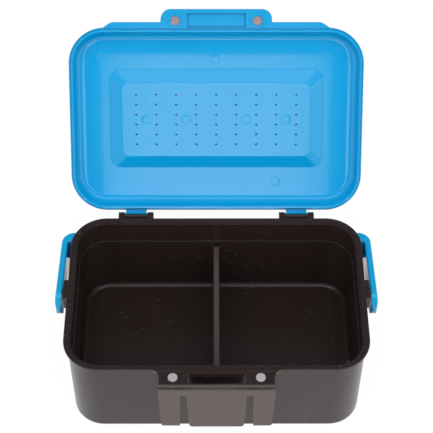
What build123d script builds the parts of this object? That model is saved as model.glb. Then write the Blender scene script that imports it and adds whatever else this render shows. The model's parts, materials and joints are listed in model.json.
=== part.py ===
from build123d import *
import math
import os

# Two-compartment insect keeper box: a deep tub with a removable divider, a vented lid on two
# snap-on hinges, a magnet closure at the front, a belt clip and two strap hooks.
# Millimetres. +X right, +Y towards the hinges, +Z up. Origin: centre of the tub's underside.
# The lid is drawn in its shut place, in a frame that is turned open about the hinge line.

# ---- tub ----
tub_width = 160.0           # over the rim, along X
tub_depth = 101.0           # over the rim, along Y
tub_height = 58.0           # floor to the seat that the lid shuts on
rim_corner = 19.2           # plan radius of the rim
rim_reach = 1.9             # the rim stands this far out from the wall
rim_height = 1.2
rim_round = 0.5             # upper outer edge of the rim
outer_draft = 0.3           # how far the outside has come in at the floor, each side
inner_draft = 0.3           # the same inside
rim_wall = 3.6              # rim's outer edge to the wall's inside
floor_thickness = 2.4
foot_round = 2.0            # outer edge of the underside
cavity_round = 3.0          # inner edge of the floor
mouth_inset = 2.4           # rim's outer edge to the shallow recess in its inner edge
mouth_depth = 1.2
liner_step = 0.15           # lower wall stands in from the upper one
liner_height = 42.0         # floor to that step

# ---- divider ----
divider_thickness = 1.8
divider_height = 40.0       # underside of the tub to the divider's top
bead_width = 2.8
bead_depth = 1.6
divider_round = 3.0         # top corners, in side view
slot_clearance = 0.1        # divider to its guide ribs, each side
end_clearance = 0.25        # divider to the end walls
rib_width = 1.2
rib_depth = 1.6

# ---- closure ----
ledge_width = 59.2
ledge_reach = 9.1           # out from the rim
ledge_thickness = 2.6
ledge_root = 4.5            # plan fillet where the ledge leaves the wall
finger_width = 29.8         # through slot that a fingertip reaches into
finger_lip = 0.8            # what stays in front of the slot
finger_back = 2.2           # what stays behind it, from the rim
frame_width = 2.4           # raised rails beside the slot
pad_depth = 0.4             # magnet pads lie this far below the rails
magnet_diameter = 5.0
magnet_length = 3.0
magnet_clearance = 0.05
magnet_spacing = 45.0
magnet_reach = 4.6          # out from the rim
magnet_proud = 0.9          # tub magnets stand this far out of their pads
magnet_edge = 0.25          # chamfer round a magnet's face
magnet_boss = 8.4           # diameter
boss_floor = 1.2            # plastic under a magnet
finger_corner = 1.0

# ---- hinges ----
hinge_spacing = 90.0
hinge_out = 3.5             # rim to the hinge line
hinge_drop = 2.8            # hinge line below the seat
hinge_bar = 3.6             # diameter
bar_clearance = 0.06        # radial, running
ear_gap = 12.9
ear_thickness = 3.3
ear_radius = 2.4
ear_depth = 8.0             # down the wall
ear_drop = 1.2              # ear's root below the seat, clear of the shut lid
hook_width = 11.6
hook_thickness = 1.5
hook_mouth = 120.0          # degrees of the ring left open, so that it snaps over the bar
open_angle = 126.0          # lid's swing from shut to its stop
heel_gap = 0.35             # open lid's heels to the tub's back wall
heel_top = 2.2              # below the hinge line, when open
heel_height = 1.8
heel_root = 1.4             # heel's inner end, this far from the hinge line

# ---- lid ----
lid_overhang = 0.8          # beyond the tub's rim, front and back
lid_side_overhang = 1.3
seat_gap = 0.3              # shut lid above the tub's seat
edge_band = 1.1             # outer, higher band of the lid's rim
seal_band = 1.2             # inner band that comes down on the seat
band_step = 1.0
lid_wall = 2.0
lid_edge = 0.4              # chamfer of the flange's outer edges
dish_depth = 7.0            # seal band up to the flat
dish_draft = 12.0           # degrees
dome_inset = 0.6
dome_round = 6.0
dish_round = 4.5
panel_width = 119.0         # sunk panel, at its outer edge
panel_depth = 55.8
panel_sink = 3.0
panel_bevel = 7.0
panel_corner = 6.0
panel_inner_corner = 4.4
panel_round = 0.8           # both edges of the bevel, inside the lid
vent_columns = 9
vent_rows = 6
vent_pitch_x = 11.14
vent_pitch_y = 5.6
vent_diameter = 1.1         # inside; they narrow towards the outside
vent_outlet = 0.35
vent_sides = 12             # looks round at this size and keeps the mesh light
strip_width = 124.3         # stiffening strip along the front edge
strip_reach = 3.0
strip_slope = 4.4           # how much each end slopes in
strip_round = 5.0
flap_width = 61.0
flap_reach = 10.1
flap_corner = 5.5
flap_root = 1.2             # where the flap leaves the strip
recess_width = 32.2         # shallow grip recess under the flap
recess_depth = 1.2
recess_length = 7.8
recess_front = 2.2          # flap edge to the recess
pad_diameter = 8.6
pad_height = 0.2
pocket_chamfer = 0.4        # mouth of a lid magnet's pocket

# ---- belt clip ----
clip_width = 60.6           # at its top
clip_foot_width = 58.4
clip_drop = 4.9             # seat down to the clip's top
clip_length = 34.7          # top to the side strips' lower ends
tongue_extra = 1.0          # the tongue reaches this much lower
clip_thickness = 2.0
clip_corner = 1.5           # lower corners of the side strips
clip_edge = 0.8             # rounding of the top edge
tongue_width = 31.4
tongue_foot_width = 28.8
slot_width = 3.2
slot_foot_width = 5.0
slot_drop = 5.7             # clip's top down to the slots' upper ends
tongue_corner = 2.0
tongue_bead = 1.2           # radius of the rounded bead behind the tongue's end
bead_inset = 3.0            # the bead stops this far from the tongue's corners
arm_width = 8.0
arm_thickness = 2.5
arm_spacing = 48.0
peg_diameter = 2.0
peg_length = 2.2
peg_clearance = 0.05
clip_pad = 0.8              # seat on the wall stands out this far
seat_margin = 0.8           # seat round an arm's end
seat_corner = 1.0

# ---- strap hooks ----
strap_gap = 2.4             # rim to the hook's inner face
strap_plate = 3.4
strap_cheek = 6.4
strap_length = 48.0
strap_inset = 9.5           # rim's back edge to the hook's back face
strap_drop = 0.7            # seat down to the hook's top
strap_height = 15.7
strap_corner = 7.0          # outside of the bend
strap_bend = 1.5            # inside of the bend
strap_splay = 1.2           # the free end stands this much further out
strap_end_round = 7.6       # free end's corners, in side view
strap_edge = 1.1            # rounding of the long edges
strap_fit = 0.05            # hook to the rim and the wall
strap_peg = 2.4             # diameter of the two pegs that press into the wall
strap_peg_tip = 3.5         # their ends, in from the rim
strap_peg_forward = 5.5     # hook's back face to the pegs' middle
strap_peg_spacing = 6.4
keeper_out = 2.2
keeper_length = 12.2
keeper_inset = 33.4         # hook's back face to the keeper's back face
keeper_height = 11.0
keeper_chamfer = 2.4

front = tub_depth / 2
side = tub_width / 2
hinge_y = front + hinge_out
hinge_z = tub_height - hinge_drop
wall_out = front - rim_reach
draft_angle = math.degrees(math.atan(outer_draft / tub_height))
inner_angle = math.degrees(math.atan(inner_draft / tub_height))
ledge_underside = tub_height - ledge_thickness
magnet_hole = magnet_diameter / 2 + magnet_clearance
magnet_y = -(front + magnet_reach)
pad_z = tub_height - pad_depth
magnet_base = pad_z + magnet_proud - magnet_length
ear_spacing = ear_gap + ear_thickness
clip_top = tub_height - clip_drop
clip_foot = clip_top - clip_length
slot_top = clip_top - slot_drop
strap_top = tub_height - strap_drop
strap_back = front - strap_inset
keeper_back = strap_back - keeper_inset


def rim_outline(inset):
    """Rounded rectangle that lies this far inside the rim's outer edge."""
    RectangleRounded(tub_width - 2 * inset, tub_depth - 2 * inset, rim_corner - inset)


# ---- tub ----
with BuildPart() as tub:
    with BuildSketch(Plane.XY.offset(tub_height)):
        rim_outline(rim_reach)
    extrude(amount=-tub_height, taper=draft_angle)
    fillet(tub.edges().group_by(Axis.Z)[0], foot_round)
    with BuildSketch(Plane.XY.offset(tub_height)):
        rim_outline(0)
    extrude(amount=-rim_height)
    fillet(tub.edges().group_by(Axis.Z)[-1], rim_round)

    # ledge in front, level with the seat, with rounded roots
    with BuildSketch(Plane.XY.offset(ledge_underside)):
        rim_outline(rim_reach + 0.5)
        with Locations((0, -(front + ledge_reach) / 2)):
            Rectangle(ledge_width, front + ledge_reach)
    extrude(amount=ledge_thickness)
    with BuildSketch(Plane.XY.offset(ledge_underside)):
        with Locations((0, -front)):
            Rectangle(ledge_width + 2 * ledge_root, 2 * ledge_root)
        with Locations(
            (ledge_width / 2 + ledge_root, -front - ledge_root),
            (-ledge_width / 2 - ledge_root, -front - ledge_root),
        ):
            Circle(ledge_root, mode=Mode.SUBTRACT)
    extrude(amount=ledge_thickness)

    # magnet bosses under the ledge, pads and finger slot in it
    with BuildSketch(Plane.XY.offset(magnet_base - boss_floor)):
        with Locations((magnet_spacing / 2, magnet_y), (-magnet_spacing / 2, magnet_y)):
            Circle(magnet_boss / 2)
    extrude(until=Until.NEXT)
    pad_inner = finger_width / 2 + frame_width
    pad_length = ledge_width / 2 - pad_inner
    with BuildSketch(Plane.XY.offset(tub_height)):
        with Locations(
            (pad_inner + pad_length / 2, -front - ledge_reach / 2),
            (-pad_inner - pad_length / 2, -front - ledge_reach / 2),
        ):
            Rectangle(pad_length, ledge_reach - 2 * finger_lip)
    extrude(amount=-pad_depth, mode=Mode.SUBTRACT)
    slot_length = ledge_reach - finger_lip - finger_back
    with BuildSketch(Plane.XY.offset(tub_height)):
        with Locations((0, -front - finger_back - slot_length / 2)):
            RectangleRounded(finger_width, slot_length, finger_corner)
    extrude(amount=-ledge_thickness, mode=Mode.SUBTRACT)
    with Locations(
        (magnet_spacing / 2, magnet_y, pad_z), (-magnet_spacing / 2, magnet_y, pad_z)
    ):
        Hole(magnet_hole, depth=pad_z - magnet_base)

    # two seats for the belt clip, each with a socket
    for seat_x in (-arm_spacing / 2, arm_spacing / 2):
        with BuildSketch(Plane.XZ.offset(front + clip_pad)):
            with Locations((seat_x, clip_top - arm_thickness / 2)):
                RectangleRounded(
                    arm_width + 2 * seat_margin, arm_thickness + 2 * seat_margin, seat_corner
                )
        extrude(amount=-(clip_pad + rim_reach + 1))
    # hinge ears with a bar between each pair
    for hinge_x in (-hinge_spacing / 2, hinge_spacing / 2):
        for ear_x in (hinge_x - ear_spacing / 2, hinge_x + ear_spacing / 2):
            with BuildSketch(Plane.YZ.offset(ear_x)):
                with Locations((hinge_y, hinge_z)):
                    Circle(ear_radius)
                with Locations((wall_out, tub_height - ear_drop - ear_depth / 2)):
                    Rectangle(2, ear_depth)
                make_hull()
            extrude(amount=ear_thickness / 2, both=True)
        with BuildSketch(Plane.YZ.offset(hinge_x)):
            with Locations((hinge_y, hinge_z)):
                Circle(hinge_bar / 2)
        extrude(amount=ear_spacing / 2, both=True)

    # keepers for the strap hooks' free ends on the side walls
    for out in (-1, 1):
        with BuildSketch(Plane.XZ.offset(-keeper_back)):
            with BuildLine():
                Polyline(
                    (out * (side - rim_reach - 1), strap_top),
                    (out * (side + keeper_out), strap_top),
                    (out * (side + keeper_out), strap_top - keeper_height + keeper_chamfer),
                    (out * (side - rim_reach - 1), strap_top - keeper_height - 1),
                    close=True,
                )
            make_face()
        extrude(amount=keeper_length)

    # cavity: recess in the rim, upper wall, and the lower wall that stands in a little
    with BuildSketch(Plane.XY.offset(tub_height)):
        rim_outline(mouth_inset)
    extrude(amount=-mouth_depth, mode=Mode.SUBTRACT)
    with BuildSketch(Plane.XY.offset(tub_height)):
        rim_outline(rim_wall)
    extrude(amount=-(tub_height - liner_height), taper=inner_angle, mode=Mode.SUBTRACT)
    with BuildSketch(Plane.XY.offset(tub_height)):
        rim_outline(rim_wall + liner_step)
    extrude(amount=-(tub_height - floor_thickness), taper=inner_angle, mode=Mode.SUBTRACT)
    cavity_floor = tub.edges().filter_by_position(
        Axis.Z, floor_thickness - 0.01, floor_thickness + 0.01
    )
    fillet(cavity_floor, cavity_round)

    # guide ribs for the divider, on the end walls and the floor
    rib_top = divider_height - bead_depth - 0.8
    slot_half = divider_thickness / 2 + slot_clearance
    wall_inside = front - rim_wall - liner_step
    for rib_x in (-slot_half - rib_width / 2, slot_half + rib_width / 2):
        for end in (-1, 1):
            with BuildSketch(Plane.XY.offset(floor_thickness)):
                with Locations((rib_x, end * (wall_inside + 1 - (rib_depth + 1) / 2))):
                    Rectangle(rib_width, rib_depth + 1)
            extrude(amount=rib_top - floor_thickness)
        with BuildSketch(Plane.XY.offset(floor_thickness)):
            with Locations((rib_x, 0)):
                Rectangle(rib_width, 2 * wall_inside - 1)
        extrude(amount=rib_depth)

    # sockets for the belt clip's pegs and the strap hooks' pegs
    with BuildSketch(Plane.XZ.offset(front + clip_pad)):
        with Locations(
            (-arm_spacing / 2, clip_top - arm_thickness / 2),
            (arm_spacing / 2, clip_top - arm_thickness / 2),
        ):
            Circle(peg_diameter / 2 + peg_clearance)
    extrude(amount=-(peg_length + 0.2), mode=Mode.SUBTRACT)
    strap_middle = strap_top - strap_height / 2
    for out in (-1, 1):
        with BuildSketch(Plane.YZ.offset(out * side)):
            for peg_z in (-strap_peg_spacing / 2, strap_peg_spacing / 2):
                with Locations((strap_back - strap_peg_forward, strap_middle + peg_z)):
                    Circle(strap_peg / 2 + peg_clearance)
        extrude(amount=-out * (strap_peg_tip + 0.1), mode=Mode.SUBTRACT)
tub.part.label = "tub"

# ---- divider ----
divider_half = front - rim_wall - liner_step - inner_draft - end_clearance
with BuildPart() as divider:
    with BuildSketch(Plane.YZ) as blade:
        with Locations((0, (divider_height + floor_thickness) / 2)):
            Rectangle(2 * divider_half, divider_height - floor_thickness)
        fillet(blade.vertices().group_by(Axis.Y)[-1], divider_round)
        fillet(blade.vertices().group_by(Axis.Y)[0], cavity_round + 0.3)
    extrude(amount=divider_thickness / 2, both=True)
    with BuildSketch(Plane.YZ) as bead:
        with Locations((0, (divider_height + floor_thickness) / 2)):
            Rectangle(2 * divider_half, divider_height - floor_thickness)
        fillet(bead.vertices().group_by(Axis.Y)[-1], divider_round)
        with Locations((0, floor_thickness)):
            Rectangle(
                2 * divider_half + 2,
                2 * (divider_height - bead_depth - floor_thickness),
                mode=Mode.SUBTRACT,
            )
    extrude(amount=bead_width / 2, both=True)
divider.part.label = "divider"

# ---- tub magnets ----
tub_magnets = []
for name, magnet_x in (("left", -magnet_spacing / 2), ("right", magnet_spacing / 2)):
    with BuildPart() as magnet:
        with BuildSketch(Plane.XY.offset(magnet_base)):
            with Locations((magnet_x, magnet_y)):
                Circle(magnet_diameter / 2)
        extrude(amount=magnet_length)
        chamfer(magnet.edges().group_by(Axis.Z)[-1], magnet_edge)
    magnet.part.label = "tub_magnet_" + name
    tub_magnets.append(magnet.part)

# ---- belt clip ----
clip_back = front + ledge_reach - clip_thickness
tongue_foot = clip_foot - tongue_extra
with BuildPart() as belt_clip:
    with BuildSketch(Plane.XZ.offset(clip_back)) as apron:
        with BuildLine():
            Polyline(
                (-clip_width / 2, clip_top),
                (clip_width / 2, clip_top),
                (clip_foot_width / 2, clip_foot),
                (-clip_foot_width / 2, clip_foot),
                close=True,
            )
        make_face()
        fillet(apron.vertices().group_by(Axis.Y)[0], clip_corner)
        with BuildLine():
            Polyline(
                (-tongue_width / 2 - slot_width, slot_top),
                (tongue_width / 2 + slot_width, slot_top),
                (tongue_foot_width / 2 + slot_foot_width, clip_foot - 1),
                (-tongue_foot_width / 2 - slot_foot_width, clip_foot - 1),
                close=True,
            )
        make_face(mode=Mode.SUBTRACT)
    extrude(amount=clip_thickness)
    top_edges = belt_clip.edges().group_by(Axis.Z)[-1].group_by(Axis.Y)
    fillet(top_edges[0] + top_edges[-1], clip_edge)
    with BuildSketch(Plane.XZ.offset(clip_back)) as tongue:
        with BuildLine():
            Polyline(
                (-tongue_width / 2, slot_top + 1),
                (tongue_width / 2, slot_top + 1),
                (tongue_foot_width / 2, tongue_foot),
                (-tongue_foot_width / 2, tongue_foot),
                close=True,
            )
        make_face()
        fillet(tongue.vertices().group_by(Axis.Y)[0], tongue_corner)
    extrude(amount=clip_thickness)
    with BuildSketch(Plane.YZ):
        with Locations((-clip_back, tongue_foot + tongue_bead)):
            Circle(tongue_bead)
    extrude(amount=tongue_foot_width / 2 - bead_inset, both=True)
    # arms back to the seats on the wall, with a peg on each
    arm_middle = clip_top - arm_thickness / 2
    with BuildSketch(Plane.XZ.offset(front + clip_pad)):
        with Locations((-arm_spacing / 2, arm_middle), (arm_spacing / 2, arm_middle)):
            Rectangle(arm_width, arm_thickness)
    extrude(amount=clip_back - front - clip_pad)
    with BuildSketch(Plane.XZ.offset(front + clip_pad)):
        with Locations((-arm_spacing / 2, arm_middle), (arm_spacing / 2, arm_middle)):
            Circle(peg_diameter / 2)
    extrude(amount=-peg_length)
belt_clip.part.label = "belt_clip"

# ---- strap hooks ----
strap_root = side - strap_corner
strap_inside = side + strap_gap
strap_outside = strap_inside + strap_plate
strap_front = strap_back - strap_length
strap_hooks = []
for name, out in (("left", -1), ("right", 1)):
    with BuildPart() as hook:
        with BuildSketch(Plane.XY.offset(strap_top - strap_height)) as plan:
            with BuildLine():
                Polyline(
                    (out * strap_root, strap_back),
                    (out * (strap_outside - strap_splay / 2), strap_back),
                    (out * (strap_outside + strap_splay / 2), strap_front),
                    (out * (strap_inside + strap_splay / 2), strap_front),
                    (out * (strap_inside - strap_splay / 2), strap_back - strap_cheek),
                    (out * strap_root, strap_back - strap_cheek),
                    close=True,
                )
            make_face()
            fillet(plan.vertices().group_by(Axis.Y)[0], strap_plate / 2 - 0.1)
            back_corner = plan.vertices().filter_by_position(
                Axis.Y, strap_back - 0.01, strap_back + 0.01
            )
            fillet(back_corner.sort_by_distance((0, strap_back))[-1], strap_corner)
            inside_corner = plan.vertices().filter_by_position(
                Axis.Y, strap_back - strap_cheek - 0.01, strap_back - strap_cheek + 0.01
            )
            fillet(inside_corner.sort_by_distance((0, strap_back))[-1], strap_bend)
        extrude(amount=strap_height)
        end_edges = hook.edges().group_by(Axis.Z)[0] + hook.edges().group_by(Axis.Z)[-1]
        outer_edges = [edge for edge in end_edges if out * edge.center().X > strap_inside + 1]
        fillet(outer_edges, strap_edge)
        # the free end is rounded in side view too
        with BuildSketch(Plane.YZ.offset(out * strap_root)) as side_view:
            with Locations((strap_back - strap_length / 2, strap_middle)):
                Rectangle(strap_length, strap_height)
            fillet(side_view.vertices().group_by(Axis.X)[0], strap_end_round)
        extrude(amount=out * (strap_outside + strap_splay - strap_root), mode=Mode.INTERSECT)
        # its root follows the rim and the wall under it, with two pegs into the wall
        with BuildSketch(Plane.XY.offset(tub_height)):
            rim_outline(-strap_fit)
        extrude(amount=-(rim_height + strap_fit), mode=Mode.SUBTRACT)
        with BuildSketch(Plane.XY.offset(tub_height)):
            rim_outline(rim_reach - strap_fit)
        extrude(amount=-tub_height, taper=draft_angle, mode=Mode.SUBTRACT)
        with BuildSketch(Plane.YZ.offset(out * side)):
            for peg_z in (-strap_peg_spacing / 2, strap_peg_spacing / 2):
                with Locations((strap_back - strap_peg_forward, strap_middle + peg_z)):
                    Circle(strap_peg / 2)
        extrude(amount=-out * strap_peg_tip)
    hook.part.label = "strap_hook_" + name
    strap_hooks.append(hook.part)

# ---- lid ----
lid_pose = Pos(0, hinge_y, hinge_z) * Rot(-open_angle, 0, 0) * Pos(0, -hinge_y, -hinge_z)
lid_frame = Plane(lid_pose)
lid_up = Axis(lid_frame.origin, lid_frame.z_dir)
seal_z = tub_height + seat_gap
edge_z = seal_z + band_step
flange_top = edge_z + lid_wall
dish_z = seal_z + dish_depth
dome_z = dish_z + lid_wall
lid_front = front + lid_overhang
pad_face = edge_z - pad_height
lid_magnet_top = pad_face + magnet_length


def lid_outline(inset):
    """Rounded rectangle that lies this far inside the lid's outer edge."""
    RectangleRounded(
        tub_width + 2 * (lid_side_overhang - inset),
        tub_depth + 2 * (lid_overhang - inset),
        rim_corner + lid_overhang - inset,
    )


def lid_side_plane(x):
    """Side-view plane of the lid at this X, in the lid's own frame."""
    return Plane(lid_pose * Plane.YZ.offset(x).location)


def level_edges(piece, height):
    """A lid piece's edges that lie at this height, in the lid's own frame."""
    return piece.edges().filter_by_position(lid_up, height - 0.01, height + 0.01)


with BuildPart() as lid:
    # edge flange with the front strip and the flap
    with BuildSketch(lid_frame.offset(edge_z)) as edge:
        lid_outline(0)
        with BuildLine():
            Polyline(
                (-strip_width / 2, -lid_front + 1),
                (strip_width / 2, -lid_front + 1),
                (strip_width / 2, -lid_front),
                (strip_width / 2 - strip_slope, -lid_front - strip_reach),
                (-strip_width / 2 + strip_slope, -lid_front - strip_reach),
                (-strip_width / 2, -lid_front),
                close=True,
            )
        make_face()
        with Locations((0, -lid_front - (flap_reach - lid_front) / 2)):
            Rectangle(flap_width, flap_reach + lid_front)
        strip_front = -lid_front - strip_reach
        front_corners = edge.vertices().filter_by_position(
            Axis.Y, strip_front - 0.01, strip_front + 0.01
        ).sort_by(Axis.X)
        fillet([front_corners[0], front_corners[-1]], strip_round)
        fillet(front_corners[1:-1], flap_root)
        fillet(edge.vertices().group_by(Axis.Y)[0], flap_corner)
    extrude(amount=lid_wall)
    chamfer(level_edges(lid, edge_z) + level_edges(lid, flange_top), lid_edge)
    # dome
    with BuildSketch(lid_frame.offset(flange_top)):
        lid_outline(dome_inset)
    extrude(amount=dome_z - flange_top, taper=dish_draft)
    fillet(level_edges(lid, dome_z), dome_round)
    # seal band, then the dish
    with BuildSketch(lid_frame.offset(seal_z)):
        lid_outline(edge_band)
    extrude(amount=band_step)
    with BuildSketch(lid_frame.offset(seal_z)):
        lid_outline(edge_band + seal_band)
    extrude(amount=dish_depth, taper=dish_draft, mode=Mode.SUBTRACT)
    fillet(level_edges(lid, dish_z), dish_round)
    # panel, sunk from outside and standing out inside, with bevelled sides
    with BuildSketch(lid_frame.offset(dish_z + 0.5)):
        RectangleRounded(panel_width, panel_depth, panel_corner)
    extrude(amount=-0.5)
    panel_lower = (panel_width - 2 * panel_bevel, panel_depth - 2 * panel_bevel, panel_inner_corner)
    with BuildSketch(lid_frame.offset(dish_z)):
        RectangleRounded(panel_width, panel_depth, panel_corner)
    with BuildSketch(lid_frame.offset(dish_z - panel_sink)):
        RectangleRounded(*panel_lower)
    loft(ruled=True)
    bevel_foot = [
        edge for edge in level_edges(lid, dish_z) if edge.center().X ** 2 < (panel_width / 2 + 1) ** 2
    ]
    fillet(level_edges(lid, dish_z - panel_sink) + bevel_foot, panel_round)
    with BuildSketch(lid_frame.offset(dome_z)):
        RectangleRounded(panel_width, panel_depth, panel_corner)
    with BuildSketch(lid_frame.offset(dome_z - panel_sink)):
        RectangleRounded(*panel_lower)
    loft(ruled=True, mode=Mode.SUBTRACT)
    with BuildSketch(lid_frame.offset(dome_z - panel_sink)):
        with GridLocations(vent_pitch_x, vent_pitch_y, vent_columns, vent_rows):
            RegularPolygon(vent_outlet / 2, vent_sides)
    vent_angle = math.degrees(math.atan((vent_diameter - vent_outlet) / 2 / lid_wall))
    extrude(amount=-lid_wall, taper=-vent_angle, mode=Mode.SUBTRACT)
    # flap: grip recess, magnet pads, bosses and pockets
    with BuildSketch(lid_frame.offset(edge_z)):
        with Locations((0, -lid_front - flap_reach + recess_front + recess_length / 2)):
            Rectangle(recess_width, recess_length)
    extrude(amount=recess_depth, mode=Mode.SUBTRACT)
    magnet_places = [(-magnet_spacing / 2, magnet_y), (magnet_spacing / 2, magnet_y)]
    with BuildSketch(lid_frame.offset(pad_face)):
        with Locations(magnet_places):
            Circle(pad_diameter / 2)
    extrude(amount=pad_height)
    with BuildSketch(lid_frame.offset(flange_top)):
        with Locations(magnet_places):
            Circle(magnet_boss / 2)
    extrude(amount=lid_magnet_top + boss_floor - flange_top)
    with BuildSketch(lid_frame.offset(pad_face)):
        with Locations(magnet_places):
            Circle(magnet_hole)
    extrude(amount=magnet_length, mode=Mode.SUBTRACT)
    pad_circles = level_edges(lid, pad_face).filter_by(GeomType.CIRCLE)
    chamfer(
        [edge for edge in pad_circles if edge.radius < magnet_hole + 0.01], pocket_chamfer
    )
    # hinge hooks: a ring with a downward mouth, a web to the flange, and a heel that stops the lid
    ring_inside = hinge_bar / 2 + bar_clearance
    ring_outside = ring_inside + hook_thickness
    mouth_y = ring_outside + 0.5
    mouth_x = mouth_y * math.tan(math.radians(hook_mouth / 2))
    heel_out = hinge_out + rim_reach - heel_gap
    for hinge_x in (-hinge_spacing / 2, hinge_spacing / 2):
        with BuildSketch(lid_side_plane(hinge_x)) as hook_side:
            with Locations((hinge_y, hinge_z)):
                Circle(ring_outside)
            with BuildLine():
                Polyline(
                    (lid_front - 1, edge_z),
                    (hinge_y, hinge_z + ring_inside),
                    (hinge_y, hinge_z + ring_outside),
                    (lid_front - 1, flange_top),
                    close=True,
                )
            make_face()
            with Locations((hinge_y, hinge_z)):
                Circle(ring_inside, mode=Mode.SUBTRACT)
            with BuildLine():
                Polyline(
                    (hinge_y, hinge_z),
                    (hinge_y - mouth_x, hinge_z - mouth_y),
                    (hinge_y + mouth_x, hinge_z - mouth_y),
                    close=True,
                )
            make_face(mode=Mode.SUBTRACT)
        extrude(amount=hook_width / 2, both=True)
        with BuildSketch(Plane.YZ.offset(hinge_x)):
            with Locations((hinge_y - (heel_out + heel_root) / 2, hinge_z - heel_top - heel_height / 2)):
                Rectangle(heel_out - heel_root, heel_height)
        extrude(amount=hook_width / 2, both=True)
lid.part.label = "lid"

# ---- lid magnets ----
lid_magnets = []
for name, magnet_x in (("left", -magnet_spacing / 2), ("right", magnet_spacing / 2)):
    with BuildPart() as magnet:
        with BuildSketch(lid_frame.offset(pad_face)):
            with Locations((magnet_x, magnet_y)):
                Circle(magnet_diameter / 2)
        extrude(amount=magnet_length)
        chamfer(level_edges(magnet, pad_face), magnet_edge)
    magnet.part.label = "lid_magnet_" + name
    lid_magnets.append(magnet.part)

os.makedirs("parts", exist_ok=True)
pieces = [tub.part, divider.part, belt_clip.part, lid.part]
for piece in pieces + tub_magnets + lid_magnets + strap_hooks:
    export_step(piece, "parts/" + piece.label + ".step")
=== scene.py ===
# %% [markdown]
# # An insect keeper box, open
# The box is moulded plastic: a glossy near-black tub with a divider and a belt clip, a blue lid thrown
# open behind it and two blue strap hooks. The solids come ready made from the CAD model, in metres,
# with +Z up. This script gives them their finishes, adds the small marks that moulding leaves, and
# sets up the light and the camera.

# %% The fixed frame
import json
import math

import bpy
import numpy as np
from mathutils import Matrix, Vector


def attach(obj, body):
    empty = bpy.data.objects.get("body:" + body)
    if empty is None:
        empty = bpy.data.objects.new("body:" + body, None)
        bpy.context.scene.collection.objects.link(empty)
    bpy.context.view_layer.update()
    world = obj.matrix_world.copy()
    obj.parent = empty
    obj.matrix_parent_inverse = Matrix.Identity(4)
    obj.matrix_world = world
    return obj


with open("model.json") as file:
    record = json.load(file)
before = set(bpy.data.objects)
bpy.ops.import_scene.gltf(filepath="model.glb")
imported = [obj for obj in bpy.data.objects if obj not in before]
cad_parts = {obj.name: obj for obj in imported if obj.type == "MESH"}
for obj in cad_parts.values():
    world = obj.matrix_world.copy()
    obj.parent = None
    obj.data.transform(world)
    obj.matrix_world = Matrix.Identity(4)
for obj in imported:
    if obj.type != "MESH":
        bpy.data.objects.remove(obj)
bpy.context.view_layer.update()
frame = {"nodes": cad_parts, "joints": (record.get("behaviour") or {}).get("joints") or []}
nodes = frame["nodes"]
print("pieces from the CAD model:", sorted(nodes))

# %% [markdown]
# ## The camera
# A long lens at some distance keeps the tub's sides nearly parallel. The view comes from the front,
# about 50 degrees above the table, so that it looks down into the compartments and square at the lid.
# The camera is placed on a circle round its target, because then each number says one thing.

# %% Camera
camera_height = math.radians(50.2)      # above the table
camera_distance = 0.8264
camera_target = Vector((0.00035, 0.09842, 0.00175))
camera_turn = math.radians(-0.28)       # round the box, to its left
camera_roll = math.radians(0.2)
camera_lens = 111.8                     # millimetres
camera_sensor = 36.0                    # width in millimetres


def look_from(place, target):
    """The rotation of a camera or lamp at place that looks at target."""
    return (target - place).to_track_quat("-Z", "Y").to_euler()


camera_reach = camera_distance * math.cos(camera_height)
camera_place = camera_target + Vector(
    (
        camera_reach * math.sin(camera_turn),
        -camera_reach * math.cos(camera_turn),
        camera_distance * math.sin(camera_height),
    )
)
camera = bpy.data.objects.new("camera", bpy.data.cameras.new("camera"))
camera.data.lens = camera_lens
camera.data.sensor_width = camera_sensor
camera.location = camera_place
camera_look = look_from(camera_place, camera_target).to_matrix() @ Matrix.Rotation(camera_roll, 3, "Z")
camera.rotation_euler = camera_look.to_euler()
bpy.context.scene.collection.objects.link(camera)
bpy.context.scene.camera = camera
print("the camera stands at", [round(value, 3) for value in camera_place])

# %% [markdown]
# ## Shader maths as Python
# A finish is a set of shader nodes, and most of them do sums. Wiring each sum by hand hides what it
# means. `Wire` holds the output of a node and lets the maths read as plain Python: adding two wires
# adds a Math node.


# %% Wire
class Wire:
    """The output of a node, for use in Python expressions."""

    def __init__(self, nodes, socket):
        self.nodes = nodes
        self.socket = socket

    def output(self, name):
        """Another output of the same node."""
        return Wire(self.nodes, self.socket.node.outputs[name])

    def maths(self, operation, *values):
        """This wire, and up to two more values, through one Math node."""
        return self.nodes.node(
            "ShaderNodeMath", {"operation": operation}, dict(enumerate((self,) + values))
        )

    def __add__(self, other):
        return self.maths("ADD", other)

    def __mul__(self, other):
        return self.maths("MULTIPLY", other)

    def __sub__(self, other):
        return self.maths("SUBTRACT", other)

    def __rsub__(self, other):
        return (self * -1.0) + other

    __radd__ = __add__
    __rmul__ = __mul__

    def dot(self, other):
        """How far this vector goes along another one."""
        made = self.nodes.node(
            "ShaderNodeVectorMath", {"operation": "DOT_PRODUCT"}, {0: self, 1: other}
        )
        return made.output("Value")

    def limited(self):
        """This wire, kept between 0 and 1."""
        return self.maths("MINIMUM", 1.0).maths("MAXIMUM", 0.0)

    def above(self, edge, soft):
        """0 below edge, 1 above it, over a soft step of this width."""
        return ((self - edge) * (1.0 / soft) + 0.5).limited()

    def near(self, level, width):
        """1 where this is at level, falling to 0 at this distance from it."""
        return 1.0 - (self - level).maths("ABSOLUTE").above(width / 2, width)


# %% [markdown]
# ## One maker for all nodes
# The plastic, the table and the room are all node trees. `Nodes` holds one tree and has the one method
# that makes a node of any kind. The table and the room also both need to know which rays see them.


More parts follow.
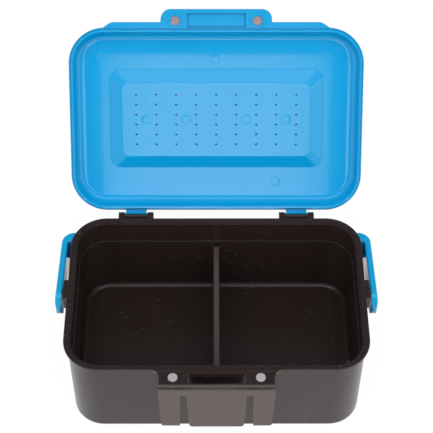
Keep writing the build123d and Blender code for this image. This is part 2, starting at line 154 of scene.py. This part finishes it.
# %% Nodes
class Nodes:
    """A set of shader nodes, and the one maker of them all."""

    def __init__(self, owner):
        owner.use_nodes = True
        self.tree = owner.node_tree
        self.tree.nodes.clear()

    def node(self, kind, settings=None, sockets=None):
        """A node of this kind: its settings, then its sockets. Gives its first output."""
        made = self.tree.nodes.new(kind)
        for name, value in (settings or {}).items():
            setattr(made, name, value)
        for name, value in (sockets or {}).items():
            self.feed(made.inputs[name], value)
        return Wire(self, made.outputs[0]) if made.outputs else None

    def feed(self, socket, value):
        """Links a wire to the socket, or sets the socket's own value."""
        if isinstance(value, Wire):
            self.tree.links.new(value.socket, socket)
        else:
            socket.default_value = value

    def rays(self):
        """1 for a ray straight from the camera, and 1 for one from a mirroring or clear surface."""
        path = self.node("ShaderNodeLightPath")
        mirrored = path.output("Is Glossy Ray").maths("MAXIMUM", path.output("Is Transmission Ray"))
        return path.output("Is Camera Ray"), mirrored


# %% [markdown]
# ## What the finishes share
# Plastic and plated metal need the same few things: patches, specks and scratches, a paler colour on
# edges as a painted highlight, painted shade in narrow corners and a fine relief. `Finish` adds them to
# `Nodes`. Everything is worked out from the object's own coordinates, so a pattern stays on its piece
# when the lid turns.


# %% Finish
class Finish(Nodes):
    """One material with a Principled shader."""

    def __init__(self, name):
        self.material = bpy.data.materials.new(name)
        super().__init__(self.material)
        self.shader = self.node("ShaderNodeBsdfPrincipled")
        self.node("ShaderNodeOutputMaterial", {}, {"Surface": self.shader})
        self.place = self.node("ShaderNodeTexCoord").output("Object")

    def set(self, **values):
        """Feeds the shader's sockets; an underscore stands for a space."""
        for name, value in values.items():
            self.feed(self.shader.socket.node.inputs[name.replace("_", " ")], value)

    def stretched(self, turn, scale):
        """The object's coordinates, scaled along its axes and then turned."""
        return self.node(
            "ShaderNodeMapping", {}, {"Vector": self.place, "Rotation": turn, "Scale": scale}
        )

    def noise(self, per_metre, detail=2.0, place=None):
        """Soft random patches, this many to a metre."""
        sockets = {"Vector": place or self.place, "Scale": per_metre, "Detail": detail}
        return self.node("ShaderNodeTexNoise", {}, sockets)

    def specks(self, per_metre, size, share):
        """1 in small round specks, one in each random cell, kept in this share of the cells.

        A speck's size is a share of its cell's.
        """
        distance = self.node("ShaderNodeTexVoronoi", {}, {"Vector": self.place, "Scale": per_metre})
        lottery = self.node("ShaderNodeSeparateColor", {}, {0: distance.output("Color")})
        kept = lottery.above(1.0 - share, 0.02)
        return (1.0 - distance.above(size, size * 0.7)) * kept

    def scratches(self, turn, per_metre, stretch, width):
        """1 on thin lines, long ones along the object's X axis, in patches here and there.

        A stretched noise passes through its middle value, 0.5, on such lines. The turn comes after the
        stretch, so it leaves the lines' direction and gives each set of scratches other lines.
        """
        lines = self.noise(per_metre, 1.0, self.stretched((0, 0, turn), (1.0 / stretch, 1, 1)))
        patches = self.noise(per_metre * 0.3, 1.0).above(0.56, 0.1)
        return lines.near(0.5, width) * patches

    def blend(self, factor, first, second):
        """One colour into another by a factor."""
        sockets = {0: factor, 6: first, 7: second}
        return self.node("ShaderNodeMix", {"data_type": "RGBA"}, sockets).output(2)

    def rounded(self, radius):
        """The surface's normal, with its edges softened by this radius."""
        return self.node("ShaderNodeBevel", {"samples": 4}, {"Radius": radius})

    def edges(self, radius, gain):
        """1 along sharp edges, 0 on flat faces: where a rounded normal leaves the true one."""
        true = self.node("ShaderNodeNewGeometry").output("Normal")
        turned = 1.0 - self.rounded(radius).dot(true)
        return (turned * gain).limited()

    def creases(self, reach, gain, own):
        """1 deep in narrow corners, where faces within this reach, its own or any, hide the light."""
        settings = {"samples": 8, "only_local": own}
        open_share = self.node("ShaderNodeAmbientOcclusion", settings, {"Distance": reach}).output("AO")
        return ((1.0 - open_share) * gain).limited()

    def relief(self, height, depth, edge):
        """A normal bumped by height, times depth in metres, over edges softened by this radius."""
        sockets = {"Height": height, "Distance": depth, "Strength": 1.0, "Normal": self.rounded(edge)}
        return self.node("ShaderNodeBump", {}, sockets)


def dress(node, finish):
    """Gives a CAD piece its finish."""
    for place in nodes[node].material_slots:
        place.material = finish.material
    print(node, "is finished in", finish.material.name)


# %% [markdown]
# ## Blue plastic
# The lid and the hooks are coloured polypropylene: a clear, saturated blue under a soft gloss. Three
# things keep it from looking like paint: the colour drifts a little where the plastic flowed, the
# gloss is uneven, and a very fine grain from the steel mould breaks up the reflections. Edges are
# painted a little paler, as a highlight, and narrow corners deeper, as painted shade.

# %% Blue finish
grain_depth = 0.000008      # metres
edge_highlight_reach = 0.0005          # how far the painted edge highlight reaches round an edge
soft_edge = 0.0003          # the rounding of edges that are drawn sharp
# painted shade: the deep blue that narrow corners are blended towards
crease_shade_colour = (0.0, 0.13, 0.38, 1)


def blue_plastic(name, colour, deep_colour, edge_highlight_colour, gloss, crease_reach, crease_gain, own_faces):
    """Glossy coloured plastic with flow patches, mould grain, marks, painted edge highlights and painted
    shade in corners.
    """
    finish = Finish(name)
    flow = finish.noise(per_metre=28.0, detail=3.0)
    marks = finish.scratches(turn=0.5, per_metre=260.0, stretch=14.0, width=0.006)
    marks = marks + finish.scratches(turn=-0.9, per_metre=330.0, stretch=11.0, width=0.005)
    haze = finish.noise(per_metre=90.0, detail=4.0)
    body = finish.blend(flow.above(0.5, 0.5), deep_colour, colour)
    # Painted shade: narrow corners, found by ambient occlusion, are blended towards a deep blue.
    creases = finish.creases(crease_reach, crease_gain, own_faces)
    shaded = finish.blend(creases, body, crease_shade_colour)
    # Painted highlight: sharp edges are blended towards a paler blue.
    finish.tint = finish.blend(finish.edges(edge_highlight_reach, 2.0), shaded, edge_highlight_colour)
    finish.grain = finish.noise(per_metre=2600.0) + marks * -0.6
    finish.gloss = gloss[0] + haze * (gloss[1] - gloss[0]) + marks * 0.12
    finish.set(
        Base_Color=finish.tint,
        Roughness=finish.gloss,
        Normal=finish.relief(finish.grain, grain_depth, soft_edge),
        IOR=1.49,
    )
    return finish


lid_finish = blue_plastic(
    "lid_blue",
    colour=(0.003, 0.41, 0.83, 1),
    deep_colour=(0.002, 0.395, 0.81, 1),
    edge_highlight_colour=(0.04, 0.52, 0.94, 1),
    gloss=(0.09, 0.15),
    crease_reach=0.0016,
    crease_gain=1.4,
    own_faces=True,
)
# The hooks' painted shade reaches 6 mm and takes in other pieces' faces, so their sides near the tub's
# wall are painted darker.
hook_finish = blue_plastic(
    "hook_blue",
    colour=(0.003, 0.41, 0.78, 1),
    deep_colour=(0.002, 0.38, 0.72, 1),
    edge_highlight_colour=(0.02, 0.58, 0.90, 1),
    gloss=(0.12, 0.20),
    crease_reach=0.006,
    crease_gain=1.1,
    own_faces=False,
)
dress("lid", lid_finish)
for hook in ("strap_hook_left", "strap_hook_right"):
    dress(hook, hook_finish)

# %% [markdown]
# ### Where things are on the lid
# The vents and the crown follow the lid's own plan, so they need two distances on it: sideways, which
# is plain X, and up the lid from its hinge. The second is a dot product with the direction in which the
# open lid points. The hinge's place and its range come from the joint, and a ray finds the dish's face.

# %% The lid's plan
joints = {joint["name"]: joint for joint in frame["joints"]}
lid_hinge = joints["lid_hinge"]
hinge = Vector(lid_hinge["pos_m"])
open_angle = math.radians(lid_hinge["range_deg"][1])
lid_way = Vector((0.0, -math.cos(open_angle), math.sin(open_angle)))        # hinge to flap, when open
lid_normal = Vector((0.0, -math.sin(open_angle), -math.cos(open_angle)))    # out of the open face
lid_half = 0.054            # from the hinge line to the lid's middle
flat_spot = 0.034           # from there to the flat beyond the panel
ray_height = 0.03           # over the hinge plane, well clear of the lid
lid_centre = hinge.dot(lid_way) + lid_half
above_lid = hinge + lid_half * lid_way + ray_height * lid_normal
dish_foot = nodes["lid"].ray_cast(above_lid + flat_spot * lid_way, -lid_normal)[1]
dish_level = dish_foot.dot(lid_normal)
lid_across = lid_finish.place.dot((1, 0, 0))
lid_up = lid_finish.place.dot(lid_way) - lid_centre
dish_depth = hinge.dot(lid_normal) - dish_level
print("the dish's face lies", round(1000 * dish_depth, 2), "mm behind the hinge plane")

# %% [markdown]
# ### The vents
# The vents are real tapered holes. Their insides are painted a dark, dull blue: painted shade that stands
# in for the shadow deep in each hole. Each hole needs the same mark, and folding the plan at the pitch of
# the grid makes one round mark do for all of them.

# %% Vents
vent_pitch = (0.01114, 0.0056)
vent_counts = (9, 6)
vent_radius = 0.00055
vent_soft = 0.0001          # the width of the mark's soft edge
# painted shade for the inside of the vents
vent_shade_blue = (0.0, 0.14, 0.50, 1)


def in_vents(across, up):
    """1 inside the vents of the grid, 0 elsewhere."""
    square = 0.0
    inside = 1.0
    for wire, pitch, count in zip((across, up), vent_pitch, vent_counts):
        shift = 0.0 if count % 2 else pitch / 2
        nearest = (wire + shift).maths("PINGPONG", pitch / 2)
        square = nearest * nearest + square
        inside = (1.0 - wire.maths("ABSOLUTE").above(count * pitch / 2, vent_soft)) * inside
    return (1.0 - square.maths("SQRT").above(vent_radius + vent_soft / 2, vent_soft)) * inside


vents = in_vents(lid_across, lid_up)
# Painted shade: the vents are blended towards a dark blue and made fully rough.
lid_finish.set(
    Base_Color=lid_finish.blend(vents, lid_finish.tint, vent_shade_blue),
    Roughness=(lid_finish.gloss + vents).maths("MINIMUM", 1.0),
)
print("vents marked:", vent_counts[0] * vent_counts[1])

# %% [markdown]
# ### The lid's crown
# A wide moulded panel shrinks as it cools and can end up slightly crowned. Here it falls away by a few
# tenths of a millimetre towards its walls, then sweeps up into the round at their foot. That only shows
# in how a reflection fades there and comes back as a bright streak, so it isn't modelled: it is added
# to the height that bends the normals.

# %% Crown
crown_start = (0.0625, 0.0350)      # from the lid's middle, sideways and up
crown_end = 0.0440                  # upwards, where the wall's round takes over
crown_drop = 2.6                    # per metre, sideways
crown_drop_up = 2 * crown_drop
sweep_start = 0.0719
sweep_rise = 25.0                   # per metre
sweep_end = 0.0742                  # sideways, where the wall's round takes over
face_reach = 0.001                  # the crown ends this far behind the dish's face
face_soft = 0.0004


def beyond(distance, start):
    """How far a distance goes past its start, squared, and 0 before it."""
    past = (distance - start).maths("MAXIMUM", 0.0)
    return past * past


def lid_crown(across, up):
    """The height of the crown and the sweep in metres."""
    out = across.maths("ABSOLUTE").maths("MINIMUM", sweep_end)
    top = up.maths("MINIMUM", crown_end)
    sideways = beyond(out, sweep_start) * sweep_rise - beyond(out, crown_start[0]) * crown_drop
    return sideways - beyond(top, crown_start[1]) * crown_drop_up


inner_face = lid_finish.place.dot(lid_normal).above(dish_level - face_reach, face_soft)
crown = lid_crown(lid_across, lid_up) * inner_face * (1.0 / grain_depth)
lid_finish.set(Normal=lid_finish.relief(lid_finish.grain + crown, grain_depth, soft_edge))
side_drop = crown_drop * (sweep_start - crown_start[0]) ** 2
print("the crown falls by", round(1000 * side_drop, 2), "mm before the sweep")

# %% [markdown]
# ## Black plastic
# The tub, its divider and the clip are the same black plastic. It has almost no colour of its own, so
# what is seen is the sheen: the pale table in the outer walls, dust and fine scratches inside. Edges
# are painted paler as a highlight. The divider and the clip are each given a paler black than the tub's.

# %% Black finish
fine_grain_depth = 0.000005     # metres
dust_colour = (0.30, 0.26, 0.22, 1)


def black_plastic(name, colour, edge_highlight_colour, gloss, dust):
    """Black plastic with an uneven sheen, painted edge highlights, fine scratches and a little pale dust.
    """
    finish = Finish(name)
    haze = finish.noise(per_metre=60.0, detail=4.0)
    smears = finish.noise(per_metre=14.0)
    drifts = finish.noise(per_metre=22.0).above(0.52, 0.2)
    specks = finish.specks(per_metre=330.0, size=0.10, share=0.22)
    specks = (specks + finish.specks(per_metre=120.0, size=0.05, share=0.3)) * drifts
    marks = finish.scratches(turn=0.3, per_metre=300.0, stretch=16.0, width=0.006)
    marks = marks + finish.scratches(turn=1.4, per_metre=240.0, stretch=12.0, width=0.005)
    # Painted highlight: sharp edges are blended towards a paler black.
    rubbed_and_edge_lit = finish.blend(finish.edges(edge_highlight_reach, 2.0), colour, edge_highlight_colour)
    dusty = ((specks + marks * drifts * 0.15) * dust).maths("MINIMUM", 1.0)
    finish.set(
        Base_Color=finish.blend(dusty, rubbed_and_edge_lit, dust_colour),
        Roughness=gloss[0] + haze * (gloss[1] - gloss[0]) + smears * 0.08 + marks * 0.1,
        Normal=finish.relief(finish.noise(per_metre=2200.0) + marks * -0.5, fine_grain_depth, soft_edge),
        IOR=1.5,
    )
    return finish


tub_finish = black_plastic(
    "tub_black",
    colour=(0.029, 0.017, 0.016, 1),
    edge_highlight_colour=(0.095, 0.080, 0.080, 1),
    gloss=(0.14, 0.28),
    dust=0.8,
)
divider_finish = black_plastic(
    "divider_black",
    colour=(0.078, 0.056, 0.053, 1),
    edge_highlight_colour=(0.19, 0.15, 0.15, 1),
    gloss=(0.16, 0.30),
    dust=0.4,
)
clip_finish = black_plastic(
    "clip_black",
    colour=(0.105, 0.074, 0.072, 1),
    edge_highlight_colour=(0.19, 0.16, 0.16, 1),
    gloss=(0.26, 0.40),
    dust=0.1,
)
dress("tub", tub_finish)
dress("divider", divider_finish)
dress("belt_clip", clip_finish)

# %% [markdown]
# ## Magnets
# Small nickel-plated discs. The plate is bright but not polished, with a satin face and a few rubs, and
# a near-white rim that is a painted highlight. The finish is only partly metallic: a disc this small
# mirrors a single patch of the room, and bare metal would take on all of that patch's darkness. The pair
# in the lid gets a darker, pinker plate.

# %% Nickel finish
# painted highlight: the near-white that the discs' rims are blended towards
painted_rim_highlight = (0.95, 0.93, 0.93, 1)
rim_width = 0.0003
satin_depth = 0.000006
rim_round = 0.0002


def nickel(name, colour, rubbed_colour, bare):
    """Satin plated metal, with cloudy rubs in colour and roughness and a painted highlight on the rim."""
    finish = Finish(name)
    cloud = finish.noise(per_metre=900.0, detail=3.0)
    rubbed_and_edge_lit = finish.blend(cloud.above(0.55, 0.3), colour, rubbed_colour)
    finish.set(
        Base_Color=finish.blend(finish.edges(rim_width, 2.0), rubbed_and_edge_lit, painted_rim_highlight),
        Metallic=bare,
        Roughness=0.42 + cloud * 0.2,
        Normal=finish.relief(finish.noise(per_metre=5000.0), satin_depth, rim_round),
    )
    return finish


tub_nickel = nickel(
    "tub_nickel", colour=(0.84, 0.82, 0.82, 1), rubbed_colour=(0.66, 0.64, 0.64, 1), bare=0.60
)
lid_nickel = nickel(
    "lid_nickel", colour=(0.68, 0.50, 0.52, 1), rubbed_colour=(0.50, 0.37, 0.39, 1), bare=0.85
)
for side in ("left", "right"):
    dress("tub_magnet_" + side, tub_nickel)
    dress("lid_magnet_" + side, lid_nickel)

# %% [markdown]
# ## Ejector marks
# When a moulding has cooled, round pins push it off the steel, and each leaves a faint disc on the side
# that faced them. They could be painted as a bump, but a disc of a few hundredths of a millimetre is
# easily made for real: one profile turned round an axis, set down on the plastic by a ray.

# %% A disc from a turned profile
mark_radius = 0.0027
mark_height = 0.00003
mark_root = 0.0003          # how deep a disc reaches into the plastic
mark_steps = 36


def turned_discs(feet, axis):
    """Points, walls and caps of a disc on each foot.

    A profile of radius r and height h is turned round the axis by an angle a:
    point = foot + r cos(a) side + r sin(a) up + h axis.
    """
    profile_r = mark_radius * np.array([0.96, 1.0, 0.99, 0.90, 0.5])
    profile_h = np.array([-mark_root, -mark_root / 2, 0.0, mark_height * 0.8, mark_height])
    turn = np.linspace(0, 2 * np.pi, mark_steps, endpoint=False)
    side_way = Vector((1, 0, 0))
    ring = np.outer(np.cos(turn), side_way) + np.outer(np.sin(turn), axis.cross(side_way))
    disc = profile_r[:, None, None] * ring + profile_h[:, None, None] * np.array(axis)
    points = (np.array(feet)[:, None, None, :] + disc).reshape(-1, 3)
    grid = np.arange(disc.shape[0] * mark_steps).reshape(-1, mark_steps)
    following = np.roll(grid, -1, axis=1)
    walls = np.stack([grid[:-1], following[:-1], following[1:], grid[1:]], -1).reshape(-1, 4)
    caps = np.stack([grid[0][::-1], grid[-1]])
    start = grid.size * np.arange(len(feet))[:, None, None]
    return points, (start + walls).reshape(-1, 4), (start + caps).reshape(-1, mark_steps)


def ejector_marks(name, node, starts, way, finish):
    """One piece with a disc wherever a ray from each start meets the node."""
    feet = [nodes[node].ray_cast(start, way)[1] for start in starts]
    points, walls, caps = turned_discs(feet, -way)
    mesh = bpy.data.meshes.new(name)
    mesh.from_pydata(points.tolist(), [], walls.tolist() + caps.tolist())
    mesh.shade_smooth()
    mesh.materials.append(finish.material)
    piece = bpy.data.objects.new(name, mesh)
    bpy.context.scene.collection.objects.link(piece)
    print(name, "discs:", len(starts), "faces:", len(mesh.polygons))
    return piece


# %% [markdown]
# ### Where the pins stood
# The pins are spread over a moulding, so that it comes off level: here a row across the lid's panel and
# a few on the flat round it, and two rows on the tub's floor. Each set of discs is one piece that rides
# on the body it marks.

# %% Ejector marks
lid_spots = [(x, 0.0) for x in (-0.0390, -0.0167, 0.0167, 0.0390)]
lid_spots += [(-0.0663, 0.0358), (-0.0006, 0.0338), (0.0334, -0.0360)]
lid_starts = [above_lid + Vector((x, 0, 0)) + up * lid_way for x, up in lid_spots]
lid_marks = ejector_marks("lid_ejector_marks", "lid", lid_starts, -lid_normal, lid_finish)
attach(lid_marks, "lid")

floor_ray = 0.05            # the height where the rays for the tub's floor start
floor_across = (-0.055, -0.022, 0.022, 0.055)
floor_along = (-0.028, 0.028)
tub_starts = [Vector((x, y, floor_ray)) for x in floor_across for y in floor_along]
down = Vector((0, 0, -1))
tub_marks = ejector_marks("tub_ejector_marks", "tub", tub_starts, down, tub_finish)
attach(tub_marks, "tub")

# %% [markdown]
# ## Table
# The box stands on a white table. A table that bright would throw a lot of light up at the box, so its
# paper is light grey for the light that falls on it, and what sees it directly or in a reflection gets
# mostly a plain white glow. The rest of the paper still shows the box's soft shadow.

# %% Table
table_size = 4.0
paper_grey = (0.65, 0.65, 0.65, 1)
glow_strength = 1.08
glow_share = 0.88           # of what the camera and reflections see


def table_white(name):
    """Paper that takes shadows, under a share of plain glow for what sees it directly."""
    material = bpy.data.materials.new(name)
    paint = Nodes(material)
    straight, mirrored = paint.rays()
    paper = paint.node("ShaderNodeBsdfDiffuse", {}, {"Color": paper_grey})
    glow = paint.node("ShaderNodeEmission", {}, {"Strength": glow_strength})
    seen = straight.maths("MAXIMUM", mirrored) * glow_share
    both = paint.node("ShaderNodeMixShader", {}, {0: seen, 1: paper, 2: glow})
    paint.node("ShaderNodeOutputMaterial", {}, {"Surface": both})
    return material


edge = table_size / 2
corners = [(-edge, -edge, 0), (edge, -edge, 0), (edge, edge, 0), (-edge, edge, 0)]
table_mesh = bpy.data.meshes.new("table")
table_mesh.from_pydata(corners, [], [(0, 1, 2, 3)])
table_mesh.materials.append(table_white("table_white"))
table = bpy.data.objects.new("table", table_mesh)
bpy.context.scene.collection.objects.link(table)
print("table:", table_size, "m wide")

# %% [markdown]
# ## Room
# The room isn't built. It is the world's light, worked out from the direction that a ray goes in. The
# camera sees plain white. What lights the box is even, with more from the front. What the plastic
# mirrors has shape, or the gloss would look flat: a white backdrop low down, dim walls above it, a
# paler ceiling, and an arch of soft light over the front from side to side.

# %% Room
room_light = 0.29           # light that the room throws on the box from all sides
window_light = 0.82         # and what comes on top from the front, about 53 degrees up
window_way = (0.0, -0.6, 0.8)
wall_light = 0.06           # how bright the room's walls look in the plastic
ceiling_light = 0.14
ceiling_start = 0.65        # heights are sines of the angle above the table
ceiling_fade = 0.30
backdrop_light = 0.80
backdrop_top = 0.16
backdrop_fade = 0.12
arch_light = 0.64
arch_height = 0.87          # at the arch's middle
arch_droop = 0.8            # how much lower it is towards the sides
arch_fade = 0.08
front_start = 0.15          # the arch is only over the front
front_fade = 0.1

world = bpy.data.worlds.new("room")
bpy.context.scene.world = world
room = Nodes(world)
direction = room.node("ShaderNodeTexCoord")
height = direction.dot((0, 0, 1))
across = direction.dot((1, 0, 0)).maths("ABSOLUTE")
front = direction.dot((0, -1, 0)).above(front_start, front_fade)
lighting = direction.dot(window_way).maths("MAXIMUM", 0.0) * window_light + room_light
backdrop = 1.0 - height.above(backdrop_top, backdrop_fade)
ceiling = height.above(ceiling_start, ceiling_fade)
arch = (across * arch_droop + height).above(arch_height, arch_fade) * front
reflected = backdrop * (backdrop_light - wall_light) + ceiling * (ceiling_light - wall_light) + wall_light
reflected = reflected + arch * (arch_light - ceiling_light)
straight, mirrored = room.rays()
thrown = lighting + (reflected - lighting) * mirrored
strength = thrown + (1.0 - thrown) * straight
air = room.node("ShaderNodeBackground", {}, {"Color": (1, 1, 1, 1), "Strength": strength})
room.node("ShaderNodeOutputWorld", {}, {"Surface": air})
print("the room is made of", len(room.tree.nodes), "nodes")

# %% [markdown]
# ## Lamps
# Four large soft lamps give the plastic its shape. One in front is mirrored by the lid's flat faces, one
# above lights into the tub, and one on each side is mirrored by the side bevels of the lid's panel.
# Each is placed by its angles as seen from the middle of the open lid, since that is where it shows.

# %% Lamps
lid_middle = Vector((0, 0.09, 0.09))


def soft_lamp(name, turn, height, distance, width, tall, radiance):
    """A rectangular soft lamp, this many degrees to the right and up, as seen from the open lid."""
    turn, height = math.radians(turn), math.radians(height)
    level = distance * math.cos(height)
    place = lid_middle + Vector(
        (level * math.sin(turn), -level * math.cos(turn), distance * math.sin(height))
    )
    lamp = bpy.data.lights.new(name, "AREA")
    lamp.shape = "RECTANGLE"
    lamp.size = width
    lamp.size_y = tall
    lamp.energy = radiance * math.pi * width * tall
    made = bpy.data.objects.new(name, lamp)
    made.location = place
    made.rotation_euler = look_from(place, lid_middle)
    bpy.context.scene.collection.objects.link(made)
    print(name, "has", round(lamp.energy, 3), "watts")


soft_lamp("lamp_front", turn=0, height=23.5, distance=1.3, width=0.33, tall=0.34, radiance=2.9)
soft_lamp("lamp_top", turn=0, height=76, distance=1.1, width=0.9, tall=0.5, radiance=1.0)
soft_lamp("lamp_left", turn=-51, height=14, distance=1.3, width=0.30, tall=0.6, radiance=0.6)
soft_lamp("lamp_right", turn=51, height=14, distance=1.3, width=0.30, tall=0.6, radiance=1.15)

bpy.context.scene.view_settings.view_transform = "Standard"
